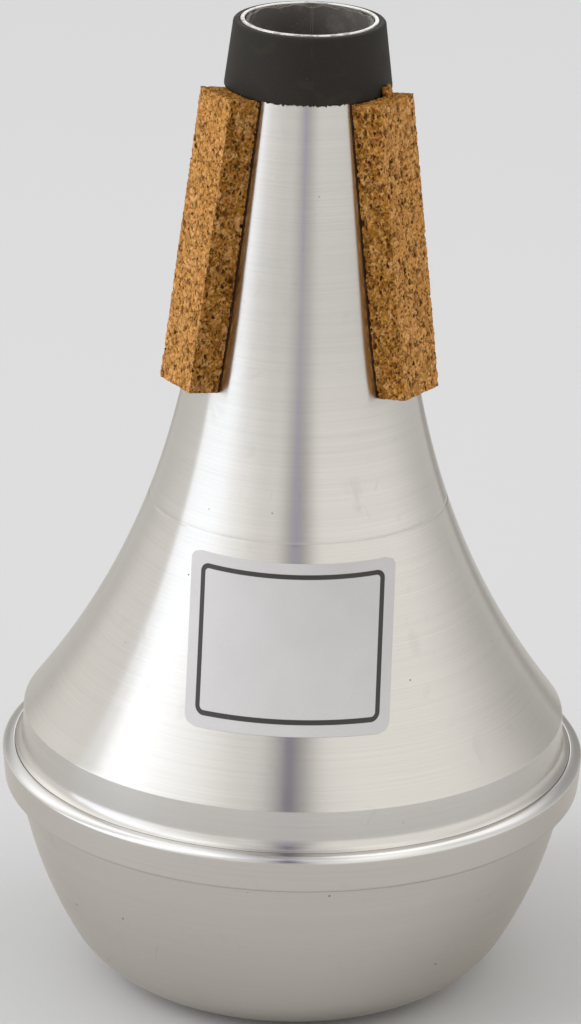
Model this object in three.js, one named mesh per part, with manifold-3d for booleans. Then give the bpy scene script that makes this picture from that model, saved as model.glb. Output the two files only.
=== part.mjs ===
// Straight mute for a trumpet: a spun cone, a spun end cap rolled onto it, a sleeve and a liner
// at the small end, and three cork strips glued along the taper.
// Millimetres, +Z up, origin at the middle of the flat bottom that the mute stands on.
// The side that is seen from the front faces -Y, with +X to the right.

import * as THREE from 'three';
import { mergeVertices } from 'three/addons/utils/BufferGeometryUtils.js';
import Module from 'manifold-3d';

const wasm = await Module();
wasm.setup();

// Both shells
const overallHeight = 170.3;
const sheet = 0.8; // thickness of the spun aluminium

// Cone, outside, from the small end down to the crease
const mouthRadius = 11.5;
const waistRadius = 16.83; // where the straight taper ends and the flare begins
const waistDepth = 42.3; // from the mouth down to the waist
const flarePower = 2.59; // the flare opens with this power of the way down from the waist

// Cone, from the crease down to the groove
const neckHeight = 4.7;
const neckDraft = 0.27; // the neck wall is this much wider at its foot
const shoulderRadius = 2.05; // hollow round from the neck wall out to the groove

// Seam between the two shells, outside
const beadRadius = 50.5; // widest place of the mute
const beadHeight = 40.25;
const beadRounding = 0.6;
const lipLength = 1.7; // rolled lip of the end cap, from the bead in to the groove
const seamGap = 0.15; // between the sheets where they lie on each other

// End cap, outside
const stepHeight = 34.8;
const stepWidth = 2.35;
const stepBend = 0.9; // outer radius of the step's edge
const cornerRadius = 17.55; // from the flat bottom up into the side
const sideRadius = 76.8; // the side, from that corner up to the step

// Sleeve and liner at the small end
const bareRim = 0.15; // metal left bare above the sleeve and the liner
const sleeveLength = 10.8;
const sleeveThickness = 1;
const sleeveBevel = 0.45; // round the sleeve's head, outside
const linerLength = 14;
const linerThickness = 0.6;
const linerJoint = 0.4; // open butt joint of the liner
const fitGap = 0.1; // between the sleeve, the liner or the glue and the sheet

// Cork strips and the glue under them
const corkWidth = 10.25;
const corkRise = 49.5; // height of the strip's outer face
const corkSpread = 42.291; // between the two front strips, round the middles of their outer faces
const corkFootDepth = 5.1; // from the cone's skin out to that face
const corkHeadDepth = 4.8;
const corkHeadGap = 0.2; // under the sleeve
const glueThickness = 0.3;
const glueMargin = 0.3; // glue squeezed out past the strip's sides and foot
const cutOverrun = 2;

// Angles, in degrees
const wallDraftAngle = 5;
const lipAngle = 21; // slope of the lip
const cornerSweep = 60.5;

// Facets
const turns = 60; // round every turned piece
const flareSteps = 14;
const cornerSteps = 7;
const sideSteps = 4;
const beadSteps = 3;
const shoulderSteps = 3;
const bendSteps = 2;

const radians = THREE.MathUtils.degToRad;
const point = (radius, height) => new THREE.Vector2(radius, height);

// Points of an arc in the half section, from one angle to another
function arc(centre, radius, from, to, steps) {
  const points = [];
  for (let i = 0; i <= steps; i++) {
    const angle = from + ((to - from) * i) / steps;
    points.push(point(centre.x + radius * Math.cos(angle), centre.y + radius * Math.sin(angle)));
  }
  return points;
}

// The same line moved sideways by a distance, to the left of its direction, with mitred corners
function offsetLine(points, distance) {
  return points.map((here, i) => {
    const before = points[Math.max(i - 1, 0)];
    const after = points[Math.min(i + 1, points.length - 1)];
    const arriving = (i > 0 ? here.clone().sub(before) : after.clone().sub(here)).normalize();
    const leaving = (i < points.length - 1 ? after.clone().sub(here) : arriving.clone()).normalize();
    const mitre = point(-arriving.y - leaving.y, arriving.x + leaving.x);
    const reach = (2 * distance) / mitre.lengthSq();
    return here.clone().addScaledVector(mitre, reach);
  });
}

// A closed half section, given outside upwards and inside downwards, turned round the Z axis
function turned(outline) {
  const onAxis = outline[0].x === 0 && outline.at(-1).x === 0;
  const closed = onAxis ? outline : [...outline, outline[0].clone()];
  return new THREE.LatheGeometry(closed, turns).rotateX(Math.PI / 2);
}

// The point of an arc at one angle
function arcPoint(centre, radius, angle) {
  return arc(centre, radius, angle, angle, 1)[0];
}

// Seam line: the end cap's outside from the step's edge up the wall, round the bead and to the lip.
// Inside the bead the sheet is bent sharp, so the inner lines follow the bead's sharp corner.
const wallDraft = radians(wallDraftAngle);
const lipSlope = radians(lipAngle);
const lipWay = point(-Math.cos(lipSlope), Math.sin(lipSlope));
const lipNormal = Math.PI / 2 - lipSlope;
const beadCentre = point(beadRadius - beadRounding, beadHeight);
const wallTop = arcPoint(beadCentre, beadRounding, -wallDraft);
const beadArc = [wallTop, ...arc(beadCentre, beadRounding, 0, lipNormal, beadSteps)];
const cornerReach = beadRounding / Math.cos((lipNormal + wallDraft) / 2);
const beadCorner = arcPoint(beadCentre, cornerReach, (lipNormal - wallDraft) / 2);
const wallFootRadius = wallTop.x - (wallTop.y - stepHeight) * Math.tan(wallDraft);
const lipEdge = beadArc.at(-1).clone().addScaledVector(lipWay, lipLength);

// Cone outside from the groove up to the crease: a hollow shoulder, then the neck wall
const grooveEdge = lipEdge.clone().addScaledVector(lipWay, seamGap);
const hollowCentre = arcPoint(grooveEdge, shoulderRadius, lipNormal);
const hollow = arc(hollowCentre, shoulderRadius, Math.PI + lipNormal, Math.PI, shoulderSteps);
const neckFoot = hollow.at(-1);
const crease = point(neckFoot.x - neckDraft, neckFoot.y + neckHeight);

// Cone outside above the crease: a straight taper, and below the waist a flare added to it
const waistHeight = overallHeight - waistDepth;
const taperRadius = (height) =>
  mouthRadius + ((waistRadius - mouthRadius) * (overallHeight - height)) / waistDepth;
const flareWidth = crease.x - taperRadius(crease.y);
function coneRadius(height) {
  const way = Math.max(waistHeight - height, 0) / (waistHeight - crease.y);
  return taperRadius(height) + flareWidth * way ** flarePower;
}
const coneLine = [];
for (let i = 0; i <= flareSteps; i++) {
  const height = crease.y + ((waistHeight - crease.y) * i) / flareSteps;
  coneLine.push(point(coneRadius(height), height));
}
coneLine.push(point(mouthRadius, overallHeight));

// The cone's skirt lies inside the seam line, one sheet and one gap in, down to the step's floor.
// Past the lip it comes out again, so that shoulder and lip lie flush with a fine groove between.
function skirtLine() {
  const seamLine = [point(wallFootRadius, stepHeight), beadCorner, lipEdge];
  const [, skirtCorner, underLip] = offsetLine(seamLine, sheet + seamGap);
  const floor = stepHeight + sheet + seamGap;
  const footRadius = skirtCorner.x - (skirtCorner.y - floor) * Math.tan(wallDraft);
  return [point(footRadius, floor), skirtCorner, underLip.addScaledVector(lipWay, seamGap)];
}

function coneBody() {
  const outside = [...skirtLine(), ...hollow, ...coneLine];
  const inside = offsetLine(outside, sheet);
  inside[0].y = outside[0].y; // the skirt's foot and the mouth are cut level
  inside.at(-1).y = overallHeight;
  return turned([...outside, ...inside.reverse()]);
}

// Flat bottom, corner and side, both round, then the step out to the seam line
function baseCup() {
  const up = radians(cornerSweep);
  const cornerTop = cornerRadius * (1 - Math.cos(up));
  const sideEnd = Math.acos(Math.cos(up) - (stepHeight - cornerTop) / sideRadius);
  const sideRun = sideRadius * (Math.sin(sideEnd) - Math.sin(up));
  const restRadius = wallFootRadius - stepWidth - sideRun - cornerRadius * Math.sin(up);
  const quarter = Math.PI / 2;
  const cornerCentre = point(restRadius, cornerRadius);
  const corner = arc(cornerCentre, cornerRadius, -quarter, up - quarter, cornerSteps);
  const sideCentre = cornerCentre.clone().lerp(corner.at(-1), 1 - sideRadius / cornerRadius);
  const side = arc(sideCentre, sideRadius, up - quarter, sideEnd - quarter, sideSteps);
  const bendReach = stepBend * Math.tan(quarter / 2 - wallDraft / 2);
  const bendCentre = point(wallFootRadius - bendReach, stepHeight + stepBend);
  const bend = arc(bendCentre, stepBend, -quarter, -wallDraft, bendSteps);
  const bowl = [point(0, 0), ...corner, ...side.slice(1), ...bend];
  const inside = offsetLine([...bowl, beadCorner, lipEdge], sheet);
  return turned([...bowl, ...beadArc, lipEdge, ...inside.reverse()]);
}

// A band round the cone between two heights, from one distance off its skin to another
function band(foot, head, near, far) {
  return [
    point(coneRadius(foot) + near, foot),
    point(coneRadius(foot) + far, foot),
    point(coneRadius(head) + far, head),
    point(coneRadius(head) + near, head),
  ];
}

const bandHead = overallHeight - bareRim;
const sleeveFoot = bandHead - sleeveLength;
const taperStretch = Math.hypot(1, (waistRadius - mouthRadius) / waistDepth);

function endSleeve() {
  const [innerFoot, foot, head, innerHead] = band(sleeveFoot, bandHead, fitGap, fitGap + sleeveThickness);
  const bevelFoot = head.clone().lerp(foot, sleeveBevel / sleeveLength);
  return turned([innerFoot, foot, bevelFoot, point(head.x - sleeveBevel, head.y), innerHead]);
}

function mouthLiner() {
  const near = -sheet * taperStretch - fitGap;
  const strip = turned(band(bandHead - linerLength, bandHead, near - linerThickness, near));
  const joint = new THREE.BoxGeometry(linerJoint, mouthRadius, linerLength + cutOverrun);
  joint.translate(0, mouthRadius / 2, bandHead - linerLength / 2);
  return geometryFrom(solidFrom(strip).subtract(solidFrom(joint)));
}

// Booleans: three.js geometry in, closed solid out, and back again
function solidFrom(geometry) {
  const bare = geometry.clone();
  bare.deleteAttribute('normal');
  bare.deleteAttribute('uv');
  const merged = mergeVertices(bare);
  const corners = merged.index.array;
  const triangles = [];
  for (let i = 0; i < corners.length; i += 3) {
    const [a, b, c] = corners.slice(i, i + 3);
    if (a !== b && b !== c && c !== a) triangles.push(a, b, c);
  }
  const vertProperties = new Float32Array(merged.attributes.position.array);
  const triVerts = new Uint32Array(triangles);
  return new wasm.Manifold(new wasm.Mesh({ numProp: 3, vertProperties, triVerts }));
}

function geometryFrom(solid) {
  const mesh = solid.getMesh();
  const geometry = new THREE.BufferGeometry();
  geometry.setAttribute('position', new THREE.BufferAttribute(mesh.vertProperties, 3));
  geometry.setIndex(new THREE.BufferAttribute(mesh.triVerts, 1));
  const faceted = geometry.toNonIndexed();
  faceted.computeVertexNormals();
  return faceted;
}

// The filled cone, grown by a distance: what the corks' backs and the glue are cut with
function conePlug(growth) {
  const skin = offsetLine(coneLine, -growth);
  return solidFrom(turned([point(0, skin[0].y), ...skin, point(0, skin.at(-1).y)]));
}

const faceFootRadius = coneRadius(sleeveFoot - corkRise) + corkFootDepth;
const faceHeadRadius = coneRadius(sleeveFoot) + corkHeadDepth;
const faceSlope = (faceFootRadius - faceHeadRadius) / corkRise;
const sleeveFootRadius = coneRadius(sleeveFoot) + fitGap + sleeveThickness;
const faceHead = sleeveFoot - corkHeadGap + (faceHeadRadius - sleeveFootRadius) * faceSlope;
const faceFoot = faceHead - corkRise;

// A straight bar from the strip's flat outer face in past the cone's skin, with ends square to the
// face, at an angle round the axis. The margin widens it and lengthens its foot.
function corkBar(turn, margin) {
  const down = point(faceSlope, -1).normalize();
  const inward = point(down.y, -down.x);
  const depth = Math.max(corkFootDepth, corkHeadDepth) + cutOverrun;
  const head = point(faceHeadRadius, faceHead);
  const foot = point(faceFootRadius, faceFoot).addScaledVector(down, margin);
  const innerFoot = foot.clone().addScaledVector(inward, depth);
  const innerHead = head.clone().addScaledVector(inward, depth);
  const width = corkWidth + 2 * margin;
  const shape = new THREE.Shape([head, innerHead, innerFoot, foot]);
  const bar = new THREE.ExtrudeGeometry(shape, { depth: width, bevelEnabled: false });
  bar.translate(0, 0, -width / 2).rotateX(Math.PI / 2).rotateZ(turn);
  return solidFrom(bar);
}

function corkStrip(turn) {
  return geometryFrom(corkBar(turn, 0).subtract(conePlug(2 * fitGap + glueThickness)));
}

function glueFilm(turn) {
  const film = conePlug(fitGap + glueThickness).subtract(conePlug(fitGap));
  return geometryFrom(corkBar(turn, glueMargin).intersect(film));
}

// Finishes
const aluminium = new THREE.MeshStandardMaterial({ color: 0xc9c6c1, roughness: 0.32, metalness: 1 });
const capAluminium = new THREE.MeshStandardMaterial({ color: 0xbdb8b1, roughness: 0.36, metalness: 1 });
const blackRubber = new THREE.MeshStandardMaterial({ color: 0x332f2b, roughness: 0.9, metalness: 0 });
const blackLining = new THREE.MeshStandardMaterial({ color: 0x3d3a37, roughness: 0.8, metalness: 0 });
const cork = new THREE.MeshStandardMaterial({ color: 0xa9742f, roughness: 0.95, metalness: 0 });
const glue = new THREE.MeshStandardMaterial({ color: 0x3a2619, roughness: 0.55, metalness: 0 });

const mute = new THREE.Group();

function add(name, geometry, material) {
  const mesh = new THREE.Mesh(geometry, material);
  mesh.name = name;
  mute.add(mesh);
}

add('cone_body', coneBody(), aluminium);
add('base_cup', baseCup(), capAluminium);
add('end_sleeve', endSleeve(), blackRubber);
add('mouth_liner', mouthLiner(), blackLining);

const front = -Math.PI / 2;
const halfSpread = corkSpread / (faceFootRadius + faceHeadRadius);
const strips = { left: front - halfSpread, right: front + halfSpread, rear: -front };
for (const [side, turn] of Object.entries(strips)) {
  add(`cork_${side}`, corkStrip(turn), cork);
  add(`cork_glue_${side}`, glueFilm(turn), glue);
}

export default mute;
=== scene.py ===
from math import acos, asin, cos, degrees, hypot, pi, radians, sin, tan

import bmesh
import bpy
from mathutils import Matrix, Vector, noise


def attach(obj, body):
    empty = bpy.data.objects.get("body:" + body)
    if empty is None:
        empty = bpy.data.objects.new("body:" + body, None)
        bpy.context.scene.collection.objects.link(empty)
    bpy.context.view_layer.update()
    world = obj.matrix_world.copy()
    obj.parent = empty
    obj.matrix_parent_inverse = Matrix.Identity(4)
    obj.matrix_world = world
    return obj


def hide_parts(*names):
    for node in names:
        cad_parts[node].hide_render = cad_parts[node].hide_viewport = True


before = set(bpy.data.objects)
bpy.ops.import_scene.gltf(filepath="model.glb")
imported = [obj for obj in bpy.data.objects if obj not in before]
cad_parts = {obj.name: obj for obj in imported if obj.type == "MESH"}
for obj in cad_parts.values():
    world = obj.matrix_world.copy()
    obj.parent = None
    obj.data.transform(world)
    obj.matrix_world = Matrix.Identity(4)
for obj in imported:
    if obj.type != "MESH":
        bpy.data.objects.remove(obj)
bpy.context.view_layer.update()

mm = 0.001
sharpEdge = 0.7          # radians between two faces, past which the edge stays sharp
mergeReach = 0.001       # mm between points that become one
noiseSpan = (0.3, 0.7)   # nearly all values of a noise lie between these


# Small helpers for node trees

def addNode(tree, kind, inputs=None, **settings):
    node = tree.nodes.new(kind)
    for key, value in settings.items():
        setattr(node, key, value)
    for key, value in (inputs or {}).items():
        if isinstance(value, bpy.types.NodeSocket):
            tree.links.new(value, node.inputs[key])
        else:
            node.inputs[key].default_value = value
    return node


def treeOf(*values):
    return next(value.id_data for value in values if isinstance(value, bpy.types.NodeSocket))


def calc(operation, *values):
    sockets = dict(enumerate(values))
    return addNode(treeOf(*values), "ShaderNodeMath", sockets, operation=operation).outputs[0]


def plus(first, second):
    return calc("ADD", first, second)


def minus(first, second):
    return calc("SUBTRACT", first, second)


def times(first, second):
    return calc("MULTIPLY", first, second)


def timesPlus(first, second, third):
    return calc("MULTIPLY_ADD", first, second, third)


def larger(first, second):
    return calc("MAXIMUM", first, second)


def vectorCalc(operation, *values):
    node = addNode(treeOf(*values), "ShaderNodeVectorMath", dict(enumerate(values)), operation=operation)
    return node.outputs[1] if operation in ("LENGTH", "DOT_PRODUCT") else node.outputs[0]


def scaled(vector, size):
    sockets = {0: vector, "Scale": size}
    return addNode(treeOf(vector, size), "ShaderNodeVectorMath", sockets, operation="SCALE").outputs[0]


def split(vector):
    return addNode(vector.id_data, "ShaderNodeSeparateXYZ", {0: vector}).outputs


def join(*values):
    return addNode(treeOf(*values), "ShaderNodeCombineXYZ", dict(enumerate(values))).outputs[0]


def ramp(value, fromLow, fromHigh, toLow=0.0, toHigh=1.0, blend="SMOOTHSTEP"):
    sockets = {0: value, 1: fromLow, 2: fromHigh, 3: toLow, 4: toHigh}
    return addNode(value.id_data, "ShaderNodeMapRange", sockets, interpolation_type=blend).outputs[0]


def evenRamp(value, fromLow, fromHigh, toLow, toHigh):
    return ramp(value, fromLow, fromHigh, toLow, toHigh, "LINEAR")


def noiseAt(place, scale, detail, **more):
    sockets = {"Vector": place, "Scale": scale, "Detail": detail, **more}
    dimensions = "4D" if "W" in more else "3D"
    return addNode(place.id_data, "ShaderNodeTexNoise", sockets, noise_dimensions=dimensions).outputs[0]


def cellsAt(place, scale, feature="F1", **more):
    sockets = {"Vector": place, "Scale": scale, **more}
    return addNode(place.id_data, "ShaderNodeTexVoronoi", sockets, feature=feature).outputs


def mixColors(share, first, second):
    node = addNode(treeOf(share, first, second), "ShaderNodeMix", data_type="RGBA")
    for name, value in (("Factor_Float", share), ("A_Color", first), ("B_Color", second)):
        target = next(socket for socket in node.inputs if socket.identifier == name)
        if isinstance(value, bpy.types.NodeSocket):
            target.id_data.links.new(value, target)
        else:
            target.default_value = value if name == "Factor_Float" else (*value, 1)
    return next(socket for socket in node.outputs if socket.identifier == "Result_Color")


def link(output, node, name):
    output.id_data.links.new(output, node.inputs[name])


def newMaterial(name, values=None):
    material = bpy.data.materials.new(name)
    material.use_nodes = True
    tree = material.node_tree
    tree.nodes.clear()
    shader = addNode(tree, "ShaderNodeBsdfPrincipled", values)
    addNode(tree, "ShaderNodeOutputMaterial", {"Surface": shader.outputs[0]})
    return material, tree, shader


def objectPlace(tree):
    return addNode(tree, "ShaderNodeTexCoord").outputs["Object"]


def addBump(shader, height, strength, depth):
    sockets = {"Strength": strength, "Distance": depth * mm, "Height": height}
    link(addNode(height.id_data, "ShaderNodeBump", sockets).outputs[0], shader, "Normal")


def newPiece(name, data):
    piece = bpy.data.objects.new(name, data)
    bpy.context.scene.collection.objects.link(piece)
    return piece


def turnedBy(angle):
    return Matrix.Rotation(radians(angle), 4, "Z")


def meshPiece(name, shape):
    mesh = bpy.data.meshes.new(name)
    shape.to_mesh(mesh)
    shape.free()
    return newPiece(name, mesh)


# Camera: the place and lens that fit the turned rings in the picture

view = dict(
    turn=2.0,            # degrees round the mute from the front, towards +X
    elevation=20.457,    # degrees down
    roll=1.361,
    distance=785.529,    # from the point on the axis that it looks at
    sideways=-1.258,
    aimHeight=83.378,
    lens=161.05,
    sensor=36,
    clip=(0.05, 50),     # metres
)


def placeCamera():
    tilt, lean = radians(view["elevation"]), radians(view["roll"])
    right = Vector((1, 0, 0))
    up = Vector((0, sin(tilt), cos(tilt)))
    back = Vector((0, -cos(tilt), sin(tilt)))
    axisX = right * cos(lean) + up * sin(lean)
    axisY = up * cos(lean) - right * sin(lean)
    aim = Vector((view["sideways"], 0, view["aimHeight"]))
    place = (aim + back * view["distance"]) * mm
    pose = Matrix((axisX, axisY, back)).transposed().to_4x4()
    data = bpy.data.cameras.new("camera")
    data.lens = view["lens"]
    data.sensor_width = view["sensor"]
    data.clip_start, data.clip_end = view["clip"]
    camera = newPiece("camera", data)
    camera.matrix_world = turnedBy(view["turn"]) @ Matrix.Translation(place) @ pose
    bpy.context.scene.camera = camera


placeCamera()
print("camera placed")


# Studio: a pale floor, a soft dome of light with broad softboxes in it, cards and two lamps

studio = dict(
    floorRadius=9.0,      # metres
    floorSides=96,
    floorDrop=0.1,        # mm under the mute, so that the two surfaces don't coincide
    floorColor=(0.548, 0.548, 0.547),
    dome=(0.415, 0.408, 0.400),
    # Degrees round the mute from the camera towards the right, and above the floor; then the width
    # of the soft edges, and the light that the box adds to the dome
    softboxes=[
        dict(start=10, end=112, edges=(10, 38), low=-90, high=110, color=(0.685, 0.685, 0.665)),
        dict(start=302, end=350, edges=(20, 10), low=-90, high=110, color=(0.546, 0.546, 0.538)),
        dict(start=264.5, end=300, edges=(1.5, 34), low=-90, high=76, color=(1.538, 1.615, 1.731)),
        dict(start=216, end=264.5, edges=(16, 1.5), low=-90, high=110, color=(0.485, 0.485, 0.469)),
        dict(start=120, end=172, edges=(12, 12), low=38, high=80, color=(0.962, 0.962, 0.969)),
        dict(start=172, end=240, edges=(12, 16), low=24, high=66, color=(0.731, 0.746, 0.769)),
        dict(start=-10, end=370, edges=(1, 1), low=66, high=110, color=(0.562, 0.562, 0.562)),
        dict(start=-10, end=370, edges=(1, 1), low=-90, high=6, color=(0.185, 0.185, 0.185)),
        # a dark gap overhead, which the rolled lip mirrors
        dict(start=-60, end=40, edges=(1, 12), low=62, high=110, color=(-0.731, -0.731, -0.677)),
        dict(start=320, end=400, edges=(12, 1), low=62, high=110, color=(-0.731, -0.731, -0.677)),
        dict(start=145, end=215, edges=(12, 12), low=74, high=110, color=(-0.731, -0.731, -0.677)),
        dict(start=40, end=145, edges=(12, 12), low=76, high=110, color=(-0.92, -0.92, -0.89)),
        dict(start=215, end=320, edges=(12, 12), low=76, high=110, color=(-0.74, -0.74, -0.71)),
    ],
    boxFade=12,           # degrees over which a box fades at its lower and upper end
    # Cards that only glossy rays see: the dark gap with the camera in it, a dull flag behind on each
    # side, a white card low on the left and one behind that the cut rim mirrors. Turns go round the
    # mute from the front, towards +X. Sizes are in metres, soft is the width of the faded sides.
    cards=[
        dict(turn=0.3, distance=0.85, width=0.075, height=3.2, soft=(0.004, 0.004),
             low=(0.480, 0.455, 0.615), high=(0.050, 0.020, 0.130)),
        dict(turn=160, distance=0.36, width=0.22, height=0.15, soft=(0.05, 0.05),
             low=(0.385, 0.377, 0.362), high=(0.385, 0.377, 0.362)),
        dict(turn=202, distance=0.36, width=0.14, height=0.15, soft=(0.05, 0.05),
             low=(0.508, 0.500, 0.485), high=(0.508, 0.500, 0.485)),
        dict(turn=-70.5, distance=0.5, width=0.45, height=0.26, soft=(0.012, 0.22),
             low=(1.577, 1.662, 1.785), high=(1.577, 1.662, 1.785)),
        dict(turn=180, distance=0.5, width=0.15, height=0.52, soft=(0.03, 0.03),
             low=(1.538, 1.577, 1.615), high=(1.538, 1.577, 1.615)),
    ],
    cardFade=(0.5, 1.0),  # metres above the floor between a card's low and high colour
    lamps=[               # the metal doesn't mirror these
        dict(turn=-72, rise=32, distance=1.6, size=1.1, power=10.4),
        dict(turn=105, rise=25, distance=1.6, size=1.1, power=5.0),
    ],
    lampAim=0.1,          # metres above the floor
)


def lightStudio():
    world = bpy.data.worlds.new("studio")
    bpy.context.scene.world = world
    world.use_nodes = True
    tree = world.node_tree
    tree.nodes.clear()
    parts = split(addNode(tree, "ShaderNodeTexCoord").outputs["Generated"])
    bearing = times(calc("ARCTAN2", parts["X"], times(parts["Y"], -1.0)), degrees(1))
    bearing = calc("FLOORED_MODULO", minus(bearing, view["turn"]), 360.0)
    rise = times(calc("ARCSINE", parts["Z"]), degrees(1))
    light = studio["dome"]
    fade = studio["boxFade"]
    for box in studio["softboxes"]:
        near, far = box["edges"]
        rising = ramp(bearing, box["start"] - near, box["start"] + near)
        falling = ramp(bearing, box["end"] - far, box["end"] + far, 1.0, 0.0)
        foot = ramp(rise, box["low"] - fade, box["low"] + fade)
        head = ramp(rise, box["high"] - fade, box["high"] + fade, 1.0, 0.0)
        mask = times(times(rising, falling), times(foot, head))
        light = vectorCalc("MULTIPLY_ADD", mask, box["color"], light)
    background = addNode(tree, "ShaderNodeBackground", {"Color": light})
    addNode(tree, "ShaderNodeOutputWorld", {"Surface": background.outputs[0]})


def layFloor():
    shape = bmesh.new()
    sides, radius = studio["floorSides"], studio["floorRadius"]
    bmesh.ops.create_circle(shape, cap_ends=True, segments=sides, radius=radius)
    bmesh.ops.translate(shape, verts=shape.verts, vec=(0, 0, -studio["floorDrop"] * mm))
    floor = meshPiece("floor", shape)
    look = {"Base Color": (*studio["floorColor"], 1), "Roughness": 1.0, "Specular IOR Level": 0.0}
    floor.data.materials.append(newMaterial("paleFloor", look)[0])


def hangCard(card):
    half = card["width"] / 2
    corners = [(-half, 0), (half, 0), (half, card["height"]), (-half, card["height"])]
    corners = [turnedBy(card["turn"]) @ Vector((x, -card["distance"], z)) for x, z in corners]
    mesh = bpy.data.meshes.new("studioCard")
    mesh.from_pydata(corners, [], [(0, 1, 2, 3)])
    piece = newPiece("studioCard", mesh)
    look = {"Base Color": (0, 0, 0, 1), "Specular IOR Level": 0.0, "Emission Strength": 1.0}
    material, tree, shader = newMaterial("studioCard", look)
    mesh.uv_layers.new(name="place")
    for loop, uv in zip(mesh.uv_layers["place"].data, ((0, 0), (1, 0), (1, 1), (0, 1))):
        loop.uv = uv
    place = split(addNode(tree, "ShaderNodeTexCoord").outputs["UV"])
    across = times(place["X"], card["width"])
    fade = times(ramp(across, 0.0, card["soft"][0]),
                 ramp(across, card["width"] - card["soft"][1], card["width"], 1.0, 0.0))
    link(fade, shader, "Alpha")
    share = ramp(times(place["Y"], card["height"]), *studio["cardFade"])
    link(mixColors(share, card["low"], card["high"]), shader, "Emission Color")
    mesh.materials.append(material)
    piece.visible_camera = piece.visible_diffuse = piece.visible_shadow = False


def hangLamp(lamp):
    data = bpy.data.lights.new("lamp", "AREA")
    data.size, data.energy = lamp["size"], lamp["power"]
    piece = newPiece("lamp", data)
    turn, rise = radians(lamp["turn"]), radians(lamp["rise"])
    way = Vector((sin(turn) * cos(rise), -cos(turn) * cos(rise), sin(rise)))
    piece.location = way * lamp["distance"] + Vector((0, 0, studio["lampAim"]))
    piece.rotation_euler = way.to_track_quat("Z", "Y").to_euler()
    piece.visible_glossy = False


lightStudio()
layFloor()
for lamp in studio["lamps"]:
    hangLamp(lamp)
for card in studio["cards"]:
    hangCard(card)
bpy.context.scene.view_settings.view_transform = "Standard"
print("studio lit")


# Lines of a half section: points are (radius, height)

def arc(centre, radius, start, end, steps):
    turnsAt = [start + (end - start) * i / steps for i in range(steps + 1)]
    return [centre + radius * Vector((cos(a), sin(a))) for a in turnsAt]


def offsetLine(points, distance):
    moved = []
    for i, here in enumerate(points):
        before, after = points[max(i - 1, 0)], points[min(i + 1, len(points) - 1)]
        arriving = (here - before if i > 0 else after - here).normalized()
        leaving = (after - here if i < len(points) - 1 else here - before).normalized()
        mitre = Vector((-arriving.y - leaving.y, arriving.x + leaving.x))
        moved.append(here + mitre * (2 * distance / mitre.length_squared))
    return moved


def roundCorner(points, corner, radius, steps=5):
    i = points.index(corner)
    back = (points[i - 1] - corner).normalized()
    ahead = (points[i + 1] - corner).normalized()
    half = back.angle(ahead) / 2
    reach = radius / tan(half)
    centre = corner + (back + ahead).normalized() * (radius / sin(half))
    first, last = corner + back * reach, corner + ahead * reach
    ways = [(first - centre).slerp(last - centre, step / steps) for step in range(steps + 1)]
    return points[:i] + [centre + way * radius for way in ways] + points[i + 1:]


# Both shells: the sizes of the turned outlines

shell = dict(
    height=170.3, sheet=0.8,
    mouthRadius=11.5, waistRadius=16.83, waistDepth=42.3, flarePower=2.59,
    neckHeight=4.7, neckDraft=0.27, shoulderRadius=2.05,
    beadRadius=50.5, beadHeight=40.25, beadRounding=0.6, beadSteps=12,
    lipLength=1.7, lipSlope=21, seamGap=0.15,
    stepHeight=34.8, stepWidth=2.35, stepBend=0.9, wallDraft=5,
    cornerRadius=17.55, cornerSweep=60.5, sideRadius=76.8,
    groove=0.05,          # what is left open of the seam's gap at the lip
    crown=0.2,            # how far the middle of the rolled lip bulges
)
waistHeight = shell["height"] - shell["waistDepth"]
wallDraft = radians(shell["wallDraft"])
lipNormal = radians(90 - shell["lipSlope"])
lipWay = Vector((-sin(lipNormal), cos(lipNormal)))


def arcPoint(centre, radius, angle):
    return centre + radius * Vector((cos(angle), sin(angle)))


def seamLine():
    centre = Vector((shell["beadRadius"] - shell["beadRounding"], shell["beadHeight"]))
    bead = arc(centre, shell["beadRounding"], -wallDraft, lipNormal, shell["beadSteps"])
    reach = shell["beadRounding"] / cos((lipNormal + wallDraft) / 2)
    corner = arcPoint(centre, reach, (lipNormal - wallDraft) / 2)
    footRadius = bead[0].x - (bead[0].y - shell["stepHeight"]) * tan(wallDraft)
    return footRadius, bead, corner, bead[-1] + lipWay * shell["lipLength"]


wallFootRadius, beadArc, beadCorner, lipEdge = seamLine()
grooveEdge = lipEdge + lipWay * shell["seamGap"]
hollowCentre = arcPoint(grooveEdge, shell["shoulderRadius"], lipNormal)
neckFoot = arcPoint(hollowCentre, shell["shoulderRadius"], pi)
crease = neckFoot + Vector((-shell["neckDraft"], shell["neckHeight"]))
taperSlope = (shell["waistRadius"] - shell["mouthRadius"]) / shell["waistDepth"]


def taperRadius(height):
    return shell["mouthRadius"] + taperSlope * (shell["height"] - height)


def coneRadius(height):
    way = max(waistHeight - height, 0) / (waistHeight - crease.y)
    return taperRadius(height) + (crease.x - taperRadius(crease.y)) * way ** shell["flarePower"]


# The lathe: a Geometry Nodes tree that turns a half section round the axis

socketKinds = {float: "NodeSocketFloat", int: "NodeSocketInt", tuple: "NodeSocketVector"}


def newGeometryTree(name, inputs):
    tree = bpy.data.node_groups.new(name, "GeometryNodeTree")
    for way in ("INPUT", "OUTPUT"):
        tree.interface.new_socket("Geometry", in_out=way, socket_type="NodeSocketGeometry")
    for inputName, default in inputs.items():
        kind = socketKinds[type(default)]
        tree.interface.new_socket(inputName, in_out="INPUT", socket_type=kind).default_value = default
    tree.interface.new_socket("Material", in_out="INPUT", socket_type="NodeSocketMaterial")
    return tree, addNode(tree, "NodeGroupInput").outputs


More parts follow.
